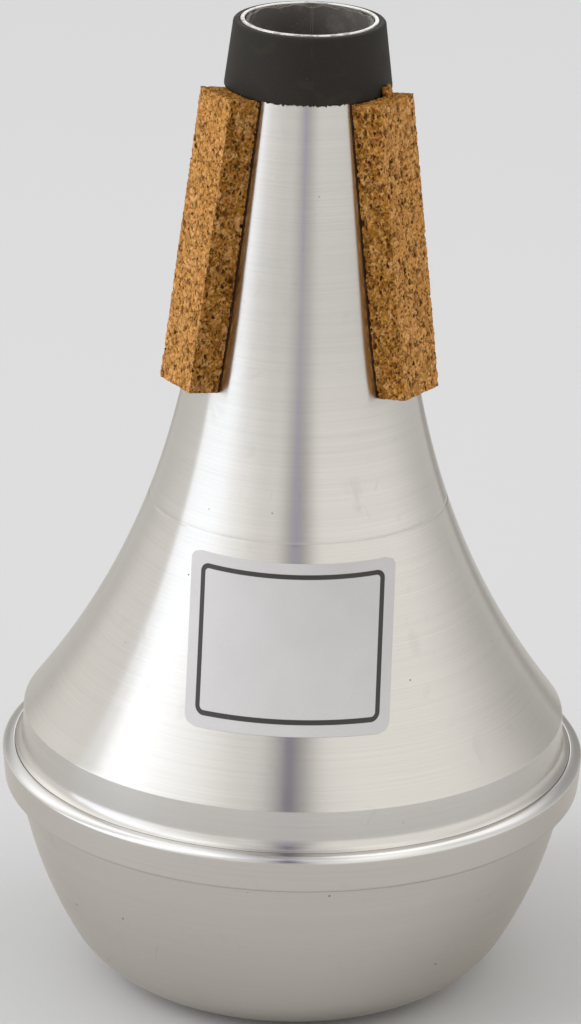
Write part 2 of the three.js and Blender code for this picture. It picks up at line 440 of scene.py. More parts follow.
def endTree(tree, shape, material, sharpAngle=None):
    # smooth but for the sharp edges, then real geometry with its material
    shape = addNode(tree, "GeometryNodeSetShadeSmooth", {"Geometry": shape}, domain="FACE").outputs[0]
    if sharpAngle is not None:
        bend = addNode(tree, "GeometryNodeInputMeshEdgeAngle").outputs["Unsigned Angle"]
        sharp = addNode(tree, "FunctionNodeCompare", {0: bend, 1: sharpAngle}, operation="GREATER_THAN")
        edges = {"Geometry": shape, "Selection": sharp.outputs[0], "Shade Smooth": False}
        shape = addNode(tree, "GeometryNodeSetShadeSmooth", edges, domain="EDGE").outputs[0]
    shape = addNode(tree, "GeometryNodeRealizeInstances", {"Geometry": shape}).outputs[0]
    shape = addNode(tree, "GeometryNodeSetMaterial", {"Geometry": shape, "Material": material}).outputs[0]
    addNode(tree, "NodeGroupOutput", {"Geometry": shape})


def mergeClose(tree, shape):
    sockets = {"Geometry": shape, "Distance": mergeReach * mm}
    return addNode(tree, "GeometryNodeMergeByDistance", sockets).outputs[0]


def storeOnPoints(shape, name, value, kind):
    sockets = {"Geometry": shape, "Name": name, "Value": value}
    settings = dict(data_type=kind, domain="POINT")
    return addNode(shape.id_data, "GeometryNodeStoreNamedAttribute", sockets, **settings).outputs[0]


def runTree(piece, tree, values):
    modifier = piece.modifiers.new(tree.name, "NODES")
    modifier.node_group = tree
    for item in tree.interface.items_tree:
        if item.item_type == "SOCKET" and item.in_out == "INPUT" and item.name in values:
            modifier[item.identifier] = values[item.name]


def bakeModifiers(piece):
    bpy.context.view_layer.update()
    graph = bpy.context.evaluated_depsgraph_get()
    mesh = bpy.data.meshes.new_from_object(piece.evaluated_get(graph))
    mesh.name = piece.name
    piece.modifiers.clear()
    piece.data = mesh
    return piece


def makeLatheTree():
    tree, given = newGeometryTree("turnOnLathe", {
        "Turns": 192, "Ridge height": 0.0, "Ridge spacing": mm, "Fray height": 0.0, "Fray length": mm,
        "Sharp angle": sharpEdge, "Seed": 0.0})
    section = given["Geometry"]
    count = addNode(tree, "GeometryNodeAttributeDomainSize", {0: section}).outputs["Point Count"]
    around = plus(given["Turns"], 1.0)
    sockets = {"Size X": 1.0, "Size Y": 1.0, "Vertices X": around, "Vertices Y": count}
    sheet = addNode(tree, "GeometryNodeMeshGrid", sockets)
    place = split(addNode(tree, "GeometryNodeInputPosition").outputs[0])
    row = calc("ROUND", times(plus(place["Y"], 0.5), minus(count, 1.0)))
    angle = times(plus(place["X"], 0.5), 2 * pi)

    def fromSection(value, kind):
        sample = addNode(tree, "GeometryNodeSampleIndex", data_type=kind, domain="POINT")
        tree.links.new(section, sample.inputs["Geometry"])
        tree.links.new(value, sample.inputs["Value"])
        tree.links.new(row, sample.inputs["Index"])
        return sample.outputs[0]

    def mark(name):
        node = addNode(tree, "GeometryNodeInputNamedAttribute", {"Name": name}, data_type="FLOAT")
        return fromSection(node.outputs["Attribute"], "FLOAT")

    at = split(fromSection(addNode(tree, "GeometryNodeInputPosition").outputs[0], "FLOAT_VECTOR"))
    along = plus(calc("DIVIDE", minus(at["Z"], at["X"]), given["Ridge spacing"]), given["Seed"])
    sockets = {"W": along, "Scale": 1.0, "Detail": 2.0}
    ridge = addNode(tree, "ShaderNodeTexNoise", sockets, noise_dimensions="1D").outputs[0]
    ridge = times(minus(ridge, 0.5), given["Ridge height"])
    radius = timesPlus(ridge, mark("ridged"), at["X"])

    def circle(size):
        return join(times(size, calc("COSINE", angle)), times(size, calc("SINE", angle)))

    # Fray: the rows that are marked as frayed wander up and down round the piece
    spot = vectorCalc("DIVIDE", circle(at["X"]), given["Fray length"])
    fray = times(minus(noiseAt(spot, 1.0, 4.0, W=given["Seed"]), 0.5), given["Fray height"])
    height = timesPlus(fray, mark("frayed"), at["Z"])
    turned = vectorCalc("ADD", circle(radius), join(0.0, 0.0, height))
    sockets = {"Geometry": sheet.outputs["Mesh"], "Position": turned}
    shape = addNode(tree, "GeometryNodeSetPosition", sockets)
    endTree(tree, mergeClose(tree, shape.outputs[0]), given["Material"], given["Sharp angle"])
    return tree


latheTree = makeLatheTree()


def turnPiece(name, outline, material, marks=None, **values):
    mesh = bpy.data.meshes.new(name)
    mesh.from_pydata([(p.x * mm, 0, p.y * mm) for p in outline], [], [])
    for markName, rule in (marks or {}).items():
        layer = mesh.attributes.new(markName, "FLOAT", "POINT")
        layer.data.foreach_set("value", [float(rule(p)) for p in outline])
    piece = newPiece(name, mesh)
    runTree(piece, latheTree, {"Material": material, **values})
    return bakeModifiers(piece)


def finishPiece(piece, slot, *nodes):
    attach(piece, "root")
    if nodes:
        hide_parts(*nodes)
    print("made", piece.name, len(piece.data.polygons), "faces")


# Spun aluminium: fine turning lines round the axis, which draw each reflection out up and down

# The rolled lip's colour is burnished metal; on the end cap it is lighter and cooler, a painted highlight
metal = dict(
    cone=dict(color=(0.630, 0.606, 0.572), roughness=0.23, anisotropy=0.9, grain=0.06,
              edge=(0.94, 0.92, 0.88), burnished=0.23, burnishedAndPaintedHighlight=(0.630, 0.606, 0.572),
              speckSpacing=3.4, scratchDepth=0.09, slope=-1.0),
    cap=dict(color=(0.611, 0.573, 0.527), roughness=0.30, anisotropy=0.7, grain=0.05,
             edge=(0.94, 0.92, 0.88), burnished=0.17, burnishedAndPaintedHighlight=(0.696, 0.685, 0.670),
             speckSpacing=4.4, scratchDepth=0.06, slope=1.0),
)
# Wear on both shells. Spacings, depths and reaches are in mm, scales are per metre, the sizes of a
# speck and of a scratch's edge are shares of a cell, and a pair is where a mark begins and ends.
wear = dict(
    fineSpacing=0.22, fineDrift=30, broadSpacing=2.4, broadDrift=12, cloudScale=55.0, cloudRoughness=0.06,
    speckFree=0.55, speckSize=0.075, speckCore=0.5, speckShade=0.75,
    scratches=[dict(turn=0.5, spacing=5.1), dict(turn=-0.9, spacing=6.7), dict(turn=1.35, spacing=8.3)],
    scratchAxis=(0.3, 0.2, 1.0), scratchStretch=(1.0, 1.0, 0.16), scratchEdge=(0.003, 0.010),
    scratchPlaces=(0.63, 0.73), placesScale=95, placesStep=40,
    smudgeScale=120.0, smudgeBend=1.2, smudge=(0.60, 0.78), smudgeShade=0.05, smudgeRoughness=0.05,
    nickScale=700.0, nick=(0.50, 0.66), nickDepths=(0.25, 0.05), nickShade=0.5,
    rolledRise=0.5, rolledReaches=(3.2, 2.6), bump=0.35, bumpDepth=0.02,
    lineTurn=0.25,        # a quarter turn lays the grain round the axis
)


def turningLines(parts, along, spacing, drift):
    # noise that is long round the axis and short along the profile
    spot = join(times(parts["X"], drift), times(parts["Y"], drift), calc("DIVIDE", along, spacing * mm))
    return noiseAt(spot, 1.0, 2.0)


def specks(place, spacing):
    cells = cellsAt(place, 1 / (spacing * mm))
    chance = split(cells["Color"])["X"]
    size = evenRamp(chance, wear["speckFree"], 1.0, 0.0, wear["speckSize"])
    spots = ramp(cells["Distance"], times(size, wear["speckCore"]), size, wear["speckShade"], 0.0)
    return times(spots, calc("GREATER_THAN", chance, wear["speckFree"]))


def scratchLines(place):
    # short scratches across the turning lines, in three directions
    every = None
    for kind in wear["scratches"]:
        sockets = {"Vector": place, "Axis": wear["scratchAxis"], "Angle": kind["turn"]}
        leaned = addNode(place.id_data, "ShaderNodeVectorRotate", sockets, rotation_type="AXIS_ANGLE")
        leaned = vectorCalc("MULTIPLY", leaned.outputs[0], wear["scratchStretch"])
        streak = cellsAt(leaned, 1 / (kind["spacing"] * mm), "DISTANCE_TO_EDGE")["Distance"]
        streak = ramp(streak, *wear["scratchEdge"], 1.0, 0.0)
        rare = noiseAt(place, wear["placesScale"] + wear["placesStep"] * kind["turn"], 2.0)
        streak = times(streak, ramp(rare, *wear["scratchPlaces"]))
        every = streak if every is None else larger(every, streak)
    return every


def spunMetal(name, finish):
    material, tree, shader = newMaterial(name, {
        "Metallic": 1.0, "Specular Tint": (*finish["edge"], 1),
        "Anisotropic": finish["anisotropy"], "Anisotropic Rotation": wear["lineTurn"]})
    place = objectPlace(tree)
    parts = split(place)
    radius = vectorCalc("LENGTH", join(parts["X"], parts["Y"]))
    along = timesPlus(radius, finish["slope"], parts["Z"])
    fine = turningLines(parts, along, wear["fineSpacing"], wear["fineDrift"])
    broad = turningLines(parts, along, wear["broadSpacing"], wear["broadDrift"])
    cloud = noiseAt(place, wear["cloudScale"], 5.0)
    smudge = noiseAt(place, wear["smudgeScale"], 5.0, Distortion=wear["smudgeBend"])
    smudge = ramp(smudge, *wear["smudge"])
    grain = plus(times(minus(fine, 0.5), finish["grain"] * 2), times(minus(broad, 0.5), finish["grain"]))
    grain = timesPlus(scratchLines(place), -finish["scratchDepth"], grain)
    grain = timesPlus(smudge, -wear["smudgeShade"], grain)
    # The cut rim at the mouth is nicked
    rim = ramp(parts["Z"], *[(shell["height"] - depth) * mm for depth in wear["nickDepths"]])
    nick = times(ramp(noiseAt(place, wear["nickScale"], 3.0), *wear["nick"]), rim)
    grain = timesPlus(nick, -wear["nickShade"], grain)
    shade = minus(plus(1.0, grain), specks(place, finish["speckSpacing"]))
    # The rolled edge is burnished by the roller, so it is less rough; on the end cap its colour is also
    # mixed towards a lighter, cooler one, a painted highlight
    plain = timesPlus(minus(cloud, 0.5), wear["cloudRoughness"], finish["roughness"])
    plain = timesPlus(smudge, wear["smudgeRoughness"], plain)
    raised = ramp(parts["Z"], shell["beadHeight"] * mm, (shell["beadHeight"] + wear["rolledRise"]) * mm)
    outermost = ramp(radius, *[(shell["beadRadius"] - reach) * mm for reach in wear["rolledReaches"]])
    rolled = times(raised, outermost)
    # painted highlight: on the rolled lip of the end cap the colour is lighter and cooler
    link(scaled(mixColors(rolled, finish["color"], finish["burnishedAndPaintedHighlight"]), shade), shader, "Base Color")
    link(timesPlus(minus(finish["burnished"], plain), rolled, plain), shader, "Roughness")
    addBump(shader, fine, wear["bump"], wear["bumpDepth"])
    tangent = addNode(tree, "ShaderNodeTangent", direction_type="RADIAL", axis="Z")
    link(tangent.outputs[0], shader, "Tangent")
    return material


# Cone: the flared outline, the neck under its crease, and the skirt hidden in the seam

cone = dict(rowSpacing=0.62, creaseRounding=0.3, rimRounding=0.16, shoulderRounding=0.1,
            shoulderSteps=16, innerShoulderSteps=3,
            scribedHeight=87.06, scribedDepth=0.05, scribedWidth=0.3,
            ridgeHeight=0.02, ridgeSpacing=1.9, ridgeSkin=0.1, ridgeFreeFoot=2, ridgeFreeHead=1,
            turns=192, seed=3.0)


def coneLine():
    rows = round((shell["height"] - crease.y) / cone["rowSpacing"])
    heights = [crease.y + (shell["height"] - crease.y) * i / rows for i in range(rows + 1)]
    return [Vector((coneRadius(h), h)) for h in heights]


def scribeRing(line):
    half = cone["scribedWidth"] / 2
    i = next(i for i, p in enumerate(line) if p.y > cone["scribedHeight"] + half)
    way = (line[i] - line[i - 1]).normalized()
    middle = Vector((coneRadius(cone["scribedHeight"]), cone["scribedHeight"]))
    below, above = middle - way * half, middle + way * half
    bottom = middle + Vector((-way.y, way.x)) * cone["scribedDepth"]
    return [p for p in line[:i] if p.y < below.y] + [below, bottom, above] + line[i:]


def makeCone():
    reach = shell["sheet"] + shell["seamGap"]
    seam = offsetLine([Vector((wallFootRadius, shell["stepHeight"])), beadCorner, lipEdge], reach)
    floor = shell["stepHeight"] + reach
    foot = Vector((seam[1].x - (seam[1].y - floor) * tan(wallDraft), floor))
    skirt = [foot, seam[1], seam[2] + lipWay * shell["seamGap"]]
    body = coneLine()

    def hollow(steps):
        return arc(hollowCentre, shell["shoulderRadius"], pi + lipNormal, pi, steps)

    def ridged(point):
        # the outer skin of the taper and the flare
        low, high = crease.y + cone["ridgeFreeFoot"], shell["height"] - cone["ridgeFreeHead"]
        return low < point.y < high and point.x > coneRadius(point.y) - cone["ridgeSkin"]

    inside = offsetLine([*skirt, *hollow(cone["innerShoulderSteps"]), *body], shell["sheet"])
    inside[0].y = foot.y
    inside[-1].y = shell["height"]
    outside = [*skirt, *hollow(cone["shoulderSteps"]), *scribeRing(body)]
    outside = roundCorner(outside, body[0], cone["creaseRounding"])
    outside = roundCorner(outside, outside[len(skirt)], cone["shoulderRounding"])
    loop = outside + inside[::-1]
    loop = roundCorner(loop, outside[-1], cone["rimRounding"])
    loop = roundCorner(loop, inside[-1], cone["rimRounding"])
    loop.append(loop[0].copy())
    material = spunMetal("spunAluminium", metal["cone"])
    piece = turnPiece("spunCone", loop, material, {"ridged": ridged}, **{
        "Turns": cone["turns"], "Ridge height": cone["ridgeHeight"] * mm,
        "Ridge spacing": cone["ridgeSpacing"] * mm, "Seed": cone["seed"]})
    finishPiece(piece, "spun_aluminium", "cone_body")


# End cap: flat bottom, rounded bowl, step, upright wall, bead and the lip rolled over the cone

cap = dict(flatSteps=10, cornerSteps=36, sideSteps=30, bendSteps=8, crownSteps=14, lipRounding=0.22,
           crownFrom=5)      # points before the end of the bead, where the lip's crown begins


def capBowl():
    up, quarter = radians(shell["cornerSweep"]), pi / 2
    cornerRadius, sideRadius = shell["cornerRadius"], shell["sideRadius"]
    cornerTop = cornerRadius * (1 - cos(up))
    sideEnd = acos(cos(up) - (shell["stepHeight"] - cornerTop) / sideRadius)
    sideRun = sideRadius * (sin(sideEnd) - sin(up))
    restRadius = wallFootRadius - shell["stepWidth"] - sideRun - cornerRadius * sin(up)
    cornerCentre = Vector((restRadius, cornerRadius))
    corner = arc(cornerCentre, cornerRadius, -quarter, up - quarter, cap["cornerSteps"])
    sideCentre = cornerCentre.lerp(corner[-1], 1 - sideRadius / cornerRadius)
    side = arc(sideCentre, sideRadius, up - quarter, sideEnd - quarter, cap["sideSteps"])
    bendReach = shell["stepBend"] * tan(quarter / 2 - wallDraft / 2)
    bendCentre = Vector((wallFootRadius - bendReach, shell["stepHeight"] + shell["stepBend"]))
    bend = arc(bendCentre, shell["stepBend"], -quarter, -wallDraft, cap["bendSteps"])
    flat = [Vector((restRadius * i / cap["flatSteps"], 0)) for i in range(cap["flatSteps"])]
    return [*flat, *corner, *side[1:], *bend]


def lipCrown(lip):
    # the rolled lip bulges a little between the bead and its edge
    slope, steps = radians(shell["lipSlope"]), cap["crownSteps"]
    start = beadArc[-cap["crownFrom"]]
    chord, out = lip - start, Vector((sin(slope), cos(slope)))
    shares = [i / steps for i in range(1, steps)]
    return [start + chord * s + out * shell["crown"] * 4 * s * (1 - s) for s in shares]


def makeCap():
    bowl = capBowl()
    lip = lipEdge + lipWay * (shell["seamGap"] - shell["groove"])
    inside = offsetLine([*bowl, beadCorner, lip], shell["sheet"])
    inside[0] = Vector((0, shell["sheet"]))
    bead = beadArc[:1 - cap["crownFrom"]]
    loop = [*bowl, *bead, *lipCrown(lip), lip, *inside[::-1]]
    loop = roundCorner(loop, lip, cap["lipRounding"])
    piece = turnPiece("endCap", loop, spunMetal("capAluminium", metal["cap"]), None, Turns=cone["turns"])
    finishPiece(piece, "cap_aluminium", "base_cup")


makeCone()
makeCap()


# Sleeve: matt black shrink tube over the small end, with a soft head and a slightly frayed foot

sleeve = dict(length=10.8, thickness=1.0, bareRim=0.15, gap=0.1, headRounding=0.5, footRounding=0.12,
              headSteps=7, footSteps=3, frayHeight=1.5, frayLength=0.34, frayReach=0.7, frayDrop=0.22,
              rows=14, rowEase=1.6, innerRows=(-1, 4, 2, 0), turns=420, seed=5.0,
              color=(0.0127, 0.0096, 0.0060), worn=(0.0390, 0.0325, 0.0247),
              grainSize=0.32, bumpDepth=0.03)
bandHead = shell["height"] - sleeve["bareRim"]
sleeveFoot = bandHead - sleeve["length"]
# The look of both black pieces. A pair is where a mark begins and where it ends.
black = dict(smudgeScale=240.0, smudgeBend=0.8, smudge=(0.46, 0.72), smudgeShare=0.35,
             speckScale=700.0, speck=(0.10, 0.16), speckShare=0.9, placesScale=330.0, places=(0.62, 0.70),
             grainShare=0.5, jointCore=0.3, jointWorn=0.6, roughness=0.62, smudgeRoughness=0.14,
             bump=0.5, specular=0.28)


def rubber(name, look, joint=0.0):
    material, tree, shader = newMaterial(name, {"Specular IOR Level": black["specular"]})
    place = objectPlace(tree)
    grain = noiseAt(place, 1 / (look["grainSize"] * mm), 6.0)
    smudge = noiseAt(place, black["smudgeScale"], 4.0, Distortion=black["smudgeBend"])
    smudge = ramp(smudge, *black["smudge"])
    speck = ramp(cellsAt(place, black["speckScale"])["Distance"], *black["speck"], 1.0, 0.0)
    speck = times(speck, ramp(noiseAt(place, black["placesScale"], 1.0), *black["places"]))
    share = larger(times(smudge, black["smudgeShare"]), times(speck, black["speckShare"]))
    share = timesPlus(minus(grain, 0.5), black["grainShare"], share)
    if joint:
        # the cut ends of a bent strip, butted at the rear, are paler
        parts = split(place)
        edge = ramp(calc("ABSOLUTE", parts["X"]), black["jointCore"] * joint * mm, joint * mm, 1.0, 0.0)
        edge = times(edge, ramp(parts["Y"], 0.0, mm))
        edge = times(edge, ramp(smudge, 0.0, 0.5, black["jointWorn"], 1.0))
        share = larger(share, edge)
    link(mixColors(larger(share, 0.0), look["color"], look["worn"]), shader, "Base Color")
    link(timesPlus(smudge, black["smudgeRoughness"], black["roughness"]), shader, "Roughness")
    addBump(shader, grain, black["bump"], look["bumpDepth"])
    return material


def makeSleeve():
    outer = sleeve["gap"] + sleeve["thickness"]
    shares = [(i / sleeve["rows"]) ** sleeve["rowEase"] for i in range(sleeve["rows"] + 1)]
    heights = [sleeveFoot + sleeve["length"] * share for share in shares]
    innerHeights = [heights[row] for row in sleeve["innerRows"]]
    outside = [Vector((coneRadius(h) + outer, h)) for h in heights]
    inside = [Vector((coneRadius(h) + sleeve["gap"], h)) for h in innerHeights]
    for point in (outside[0], inside[-1]):
        point.y -= sleeve["frayDrop"]
    foot, head = outside[0], outside[-1]
    loop = [inside[-1].lerp(foot, 0.5), *outside, *inside]
    loop = roundCorner(loop, head, sleeve["headRounding"], sleeve["headSteps"])
    loop = roundCorner(loop, foot, sleeve["footRounding"], sleeve["footSteps"])
    loop.append(loop[0].copy())

    def frayed(point):
        return max(0.0, 1 - (point.y - sleeveFoot) / sleeve["frayReach"])

    piece = turnPiece("blackSleeve", loop, rubber("blackSleeve", sleeve), {"frayed": frayed}, **{
        "Turns": sleeve["turns"], "Fray height": sleeve["frayHeight"] * mm,
        "Fray length": sleeve["frayLength"] * mm, "Seed": sleeve["seed"]})
    finishPiece(piece, "black_sleeve", "end_sleeve")


makeSleeve()


# Lining: a strip of the same black sheet, bent round inside the mouth with its ends butted

lining = dict(length=14, thickness=0.6, joint=0.1, steps=150, rows=12, raggedTop=0.9, raggedScale=2.2,
              raggedDrop=0.25, raggedEase=6, waviness=0.09, waveScale=(2.1, 2.1, 0.16), paleJoint=0.32,
              sharpAngle=40, color=(0.111, 0.100, 0.090), worn=(0.247, 0.230, 0.215),
              grainSize=0.5, bumpDepth=0.05)
liningGap = shell["sheet"] * hypot(1, taperSlope) + sleeve["gap"]      # from the cone's outer skin
octaves = (0.8, 2.0, 3)      # falloff, ratio and count of the fractal noise


def liningColumn(share):
    # points across the strip's section at a share of the way round, outer skin first
    half = asin(lining["joint"] / 2 / (shell["mouthRadius"] - liningGap))
    angle = pi / 2 + half + (2 * pi - 2 * half) * share
    way = Vector((cos(angle), sin(angle), 0))
    ragged = noise.fractal(way * lining["raggedScale"], *octaves) * lining["raggedTop"]
    ragged = min(ragged - lining["raggedDrop"] * lining["raggedTop"], 0)
    outer, inner = [], []
    for row in range(lining["rows"] + 1):
        level = row / lining["rows"]
        height = bandHead - lining["length"] * (1 - level) + ragged * level ** lining["raggedEase"]
        spot = Vector((way.x, way.y, height)) * Vector(lining["waveScale"])
        wave = noise.noise(spot) * lining["waviness"]
        radius = coneRadius(height) - liningGap
        rise = Vector((0, 0, height))
        outer.append((way * radius + rise) * mm)
        inner.append((way * (radius - lining["thickness"] + min(wave, 0)) + rise) * mm)
    return outer + inner[::-1]


def makeLining():
    shape = bmesh.new()
    columns = []
    for i in range(lining["steps"] + 1):
        columns.append([shape.verts.new(point) for point in liningColumn(i / lining["steps"])])
    size = len(columns[0])
    for first, second in zip(columns, columns[1:]):
        for j in range(size):
            shape.faces.new((first[j], second[j], second[(j + 1) % size], first[(j + 1) % size]))
    for column, flip in ((columns[0], False), (columns[-1], True)):
        for j in range(lining["rows"]):
            quad = [column[j], column[j + 1], column[size - 2 - j], column[size - 1 - j]]
            shape.faces.new(quad[::-1] if flip else quad)
    bmesh.ops.recalc_face_normals(shape, faces=shape.faces)
    for face in shape.faces:
        face.smooth = True
    piece = meshPiece("liningStrip", shape)
    piece.data.set_sharp_from_angle(angle=radians(lining["sharpAngle"]))
    piece.data.materials.append(rubber("blackLining", lining, lining["paleJoint"]))
    finishPiece(piece, "black_lining", "mouth_liner")


makeLining()


# Cork strips: bars with a flat face, cut to the cone's curve, of pressed granules with open pits

cork = dict(
    width=10.25, rise=49.5, footDepth=5.1, headDepth=4.8, headGap=0.2, back=0.16, overrun=3.0,
    plugTurns=144, plugRows=60, plugFoot=9, plugHead=4, voxel=0.16,
    turns={"Left": 212.75, "Right": 327.25, "Rear": 90.0},      # degrees round the axis from +X
    granule=1.5,          # mean size of the pressed granules
    fleck=0.5, mottle=0.7,
    # size and reach in mm of the noise that bends the pits and the granules, and how they are stretched
    pitBend=(0.45, 0.5), pitStretch=(1.0, 1.0, 0.62),
    granuleBend=(1.6, 1.7), granuleStretch=(1.0, 1.0, 0.75),
    pits=[                # spacing and radius in mm, and the share of the places that have a pit
        dict(spacing=0.90, radius=0.29, share=0.46),
        dict(spacing=0.46, radius=0.15, share=0.38),
        dict(spacing=0.27, radius=0.09, share=0.32),
    ],
    pitSizes=(0.4, 1.5), pitFloor=0.68, crackEdge=(0.02, 0.10), crackPlaces=(0.44, 0.58), placesScale=1.7,
    pitDepth=0.36, crackDepth=0.12, roughDepth=0.12, crackShade=0.6, rubbedFaceShadedSides=(0.7, 0.97),
    light=(0.550, 0.292, 0.112), middle=(0.396, 0.173, 0.027), dark=(0.194, 0.070, 0.010),
    pale=(0.610, 0.390, 0.195), pit=(0.046, 0.014, 0.002),
    crumbs=[              # crumbs of cork that are stuck to the sleeve at the right strip's head
        dict(turn=-24.0, radius=14.5, height=159.75, size=0.98),
        dict(turn=-20.5, radius=14.4, height=160.45, size=0.62),
        dict(turn=-28.0, radius=14.5, height=160.05, size=0.60),
    ],
    crumbDetail=3, crumbScale=1500, crumbRelief=0.5,
)
# How the cork's colour is mixed. A span holds the values that are spread over the pair after it,
# and that pair is the factors of the darkest and the lightest place.
corkLook = dict(
    fineScale=3100.0, fineSpan=(0.25, 0.75), fine=(0.68, 1.32), cloudScale=190.0, cloud=0.06, mottle=0.20,
    toMiddle=0.55, tintSpan=(0.25, 0.75), fleckPink=(1.05, 0.97, 1.12), fleckGreen=(0.97, 1.02, 0.90),
    fleckSpan=(0.2, 0.8), fleck=(0.84, 1.13), paleFleck=(0.55, 0.85), paleShare=0.32,
    # the cut sides' colour factor is painted shade
    sidePaintedShade=0.80, rubbedShare=0.3, storedPit=0.8, crack=0.75, pit=0.95,
    roughness=0.82, specular=0.05, bump=0.7, bumpDepth=0.08, fineBump=0.5, mottleBump=-0.6,
)


def corkFace():
    sleeveRadius = coneRadius(sleeveFoot) + sleeve["gap"] + sleeve["thickness"]
    footRadius = coneRadius(sleeveFoot - cork["rise"]) + cork["footDepth"]
    headRadius = coneRadius(sleeveFoot) + cork["headDepth"]
    slope = (footRadius - headRadius) / cork["rise"]
    head = sleeveFoot - cork["headGap"] + (headRadius - sleeveRadius) * slope
    return Vector((footRadius, head - cork["rise"])), Vector((headRadius, head))


corkFoot, corkHead = corkFace()
corkDown = (corkFoot - corkHead).normalized()
corkInward = Vector((corkDown.y, -corkDown.x))


def warped(place, size, reach):
    sockets = {"Vector": place, "Scale": 1 / (size * mm), "Detail": 2.0}
    bend = addNode(place.id_data, "ShaderNodeTexNoise", sockets).outputs["Color"]
    bend = vectorCalc("SUBTRACT", bend, (0.5, 0.5, 0.5))
    return vectorCalc("MULTIPLY_ADD", bend, (reach * mm,) * 3, place)


def corkPits(place):
    every = None
    for kind in cork["pits"]:
        cells = cellsAt(vectorCalc("MULTIPLY", place, cork["pitStretch"]), 1 / (kind["spacing"] * mm))
        chance = split(cells["Color"])
        size = times(evenRamp(chance["X"], 0.0, 1.0, *cork["pitSizes"]), kind["radius"] / kind["spacing"])
        holes = ramp(cells["Distance"], times(size, cork["pitFloor"]), size, 1.0, 0.0)
        holes = times(holes, calc("LESS_THAN", chance["Y"], kind["share"]))
        every = holes if every is None else larger(every, holes)
    return every


def corkPattern(place):
    # pits, cracks between granules, a tone for each granule and a mottle, for the mesh and the colour
    broken = warped(place, *cork["pitBend"])
    scale = 1 / (cork["granule"] * mm)
    granules = vectorCalc("MULTIPLY", warped(place, *cork["granuleBend"]), cork["granuleStretch"])
    crack = ramp(cellsAt(granules, scale, "DISTANCE_TO_EDGE")["Distance"], *cork["crackEdge"], 1.0, 0.0)
    crack = times(crack, ramp(noiseAt(place, cork["placesScale"] * scale, 2.0), *cork["crackPlaces"]))
    tone = split(cellsAt(granules, scale, "SMOOTH_F1", Smoothness=0.2)["Color"])["X"]
    mottle = noiseAt(broken, 1 / (cork["mottle"] * mm), 3.0)
    return dict(pit=corkPits(broken), crack=crack, tone=tone, mottle=mottle)


def makeCorkTree():
    tree, given = newGeometryTree("pressCork", {
        "Pit depth": mm, "Crack depth": mm, "Rough depth": mm, "Face way": (0, 0, 0)})
    place = addNode(tree, "GeometryNodeInputPosition").outputs[0]
    normal = addNode(tree, "GeometryNodeInputNormal").outputs[0]
    pattern = corkPattern(place)
    pit, crack = pattern["pit"], pattern["crack"]
    # how far a point faces outward: 1 on the rubbed outer face, 0 on the cut sides, which the colour
    # darkens as painted shade
    rubbedFaceShadedSides = ramp(vectorCalc("DOT_PRODUCT", normal, given["Face way"]), *cork["rubbedFaceShadedSides"])
    shape = storeOnPoints(given["Geometry"], "rubbedFaceShadedSides", rubbedFaceShadedSides, "FLOAT")
    shape = storeOnPoints(shape, "pit", larger(pit, times(crack, cork["crackShade"])), "FLOAT")
    depth = times(pit, given["Pit depth"])
    depth = timesPlus(crack, given["Crack depth"], depth)
    depth = timesPlus(ramp(pattern["mottle"], *noiseSpan), given["Rough depth"], depth)
    inwards = scaled(normal, times(depth, -1.0))
    shape = addNode(tree, "GeometryNodeSetPosition", {"Geometry": shape, "Offset": inwards}).outputs[0]
    endTree(tree, shape, given["Material"])
    return tree


def corkColor(place, pattern, fine, rubbedFaceShadedSides):
    tone = pattern["tone"]
    color = mixColors(ramp(tone, 0.0, 0.5), cork["dark"], cork["middle"])
    color = mixColors(ramp(tone, 0.5, 1.0), color, cork["light"])
    color = mixColors(corkLook["toMiddle"], color, cork["middle"])
    # Flecks within a granule, some of them pinker and some greener
    fleck = split(cellsAt(place, 1 / (cork["fleck"] * mm), "SMOOTH_F1", Smoothness=0.35)["Color"])
    greener = ramp(fleck["Y"], *corkLook["tintSpan"])
    tint = mixColors(greener, corkLook["fleckPink"], corkLook["fleckGreen"])
    tint = scaled(tint, ramp(fleck["X"], *corkLook["fleckSpan"], *corkLook["fleck"]))
    color = vectorCalc("MULTIPLY", color, tint)
    pale = ramp(fleck["X"], *corkLook["paleFleck"], 0.0, corkLook["paleShare"])
    color = mixColors(pale, color, cork["pale"])
    cloud = noiseAt(place, corkLook["cloudScale"], 3.0)
    shade = evenRamp(fine, *corkLook["fineSpan"], *corkLook["fine"])
    shade = plus(shade, evenRamp(cloud, *noiseSpan, -corkLook["cloud"], corkLook["cloud"]))
    shade = plus(shade, evenRamp(pattern["mottle"], *noiseSpan, corkLook["mottle"], -corkLook["mottle"]))
    # the cut sides are darkened, painted shade; the rubbed outer face is then mixed towards the light
    # tone
    color = scaled(scaled(color, shade), ramp(rubbedFaceShadedSides, 0.0, 1.0, corkLook["sidePaintedShade"], 1.0))
    return mixColors(times(rubbedFaceShadedSides, corkLook["rubbedShare"]), color, cork["light"])


def corkMaterial():
    material, tree, shader = newMaterial("pressedCork", {
        "Roughness": corkLook["roughness"], "Specular IOR Level": corkLook["specular"]})
    place = objectPlace(tree)
    pattern = corkPattern(place)
    fine = noiseAt(place, corkLook["fineScale"], 4.0)
    rubbedFaceShadedSides = addNode(tree, "ShaderNodeAttribute", attribute_name="rubbedFaceShadedSides").outputs["Fac"]
    deep = addNode(tree, "ShaderNodeAttribute", attribute_name="pit").outputs["Fac"]
    hole = larger(pattern["pit"], times(deep, corkLook["storedPit"]))
    hole = larger(hole, times(pattern["crack"], corkLook["crack"]))
    color = corkColor(place, pattern, fine, rubbedFaceShadedSides)
    link(mixColors(times(hole, corkLook["pit"]), color, cork["pit"]), shader, "Base Color")
    height = timesPlus(fine, corkLook["fineBump"], times(pattern["mottle"], corkLook["mottleBump"]))
    addBump(shader, height, corkLook["bump"], corkLook["bumpDepth"])
    return material


